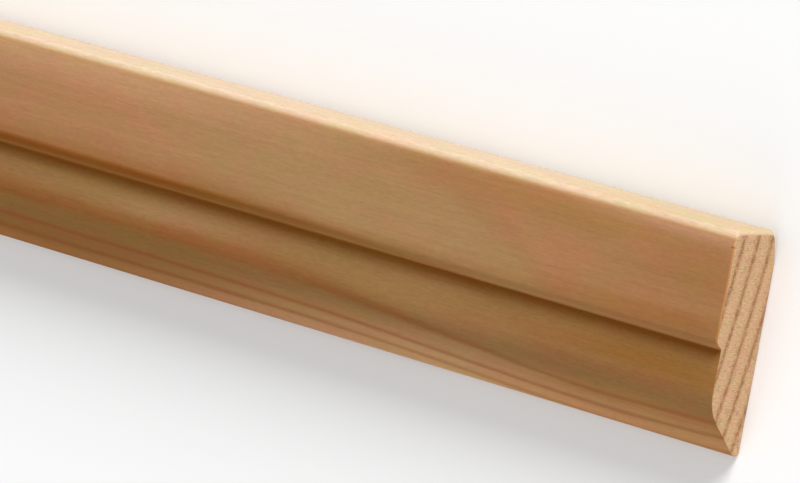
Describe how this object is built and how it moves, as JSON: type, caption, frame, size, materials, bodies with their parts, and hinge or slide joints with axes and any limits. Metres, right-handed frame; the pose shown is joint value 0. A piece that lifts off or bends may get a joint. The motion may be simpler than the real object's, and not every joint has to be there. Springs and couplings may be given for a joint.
{
  "type": "door stop moulding",
  "caption": "Planed softwood door stop moulding, flat-backed, with a square door edge, a quirk and an ovolo falling to a thin foot.",
  "frame": {"origin": "middle of the flat back face, halfway along the length and halfway across the width", "axes": "+X along the length towards the sawn end that the picture shows, +Y across the width towards the square edge that the door closes against, +Z out of the moulded front"},
  "size_m": [2.1, 0.036, 0.012],
  "materials": {
    "pine": "planed softwood with a light satin sheen, unpainted"
  },
  "bodies": {
    "root": {"moulding": "pine"}
  },
  "joints": []
}
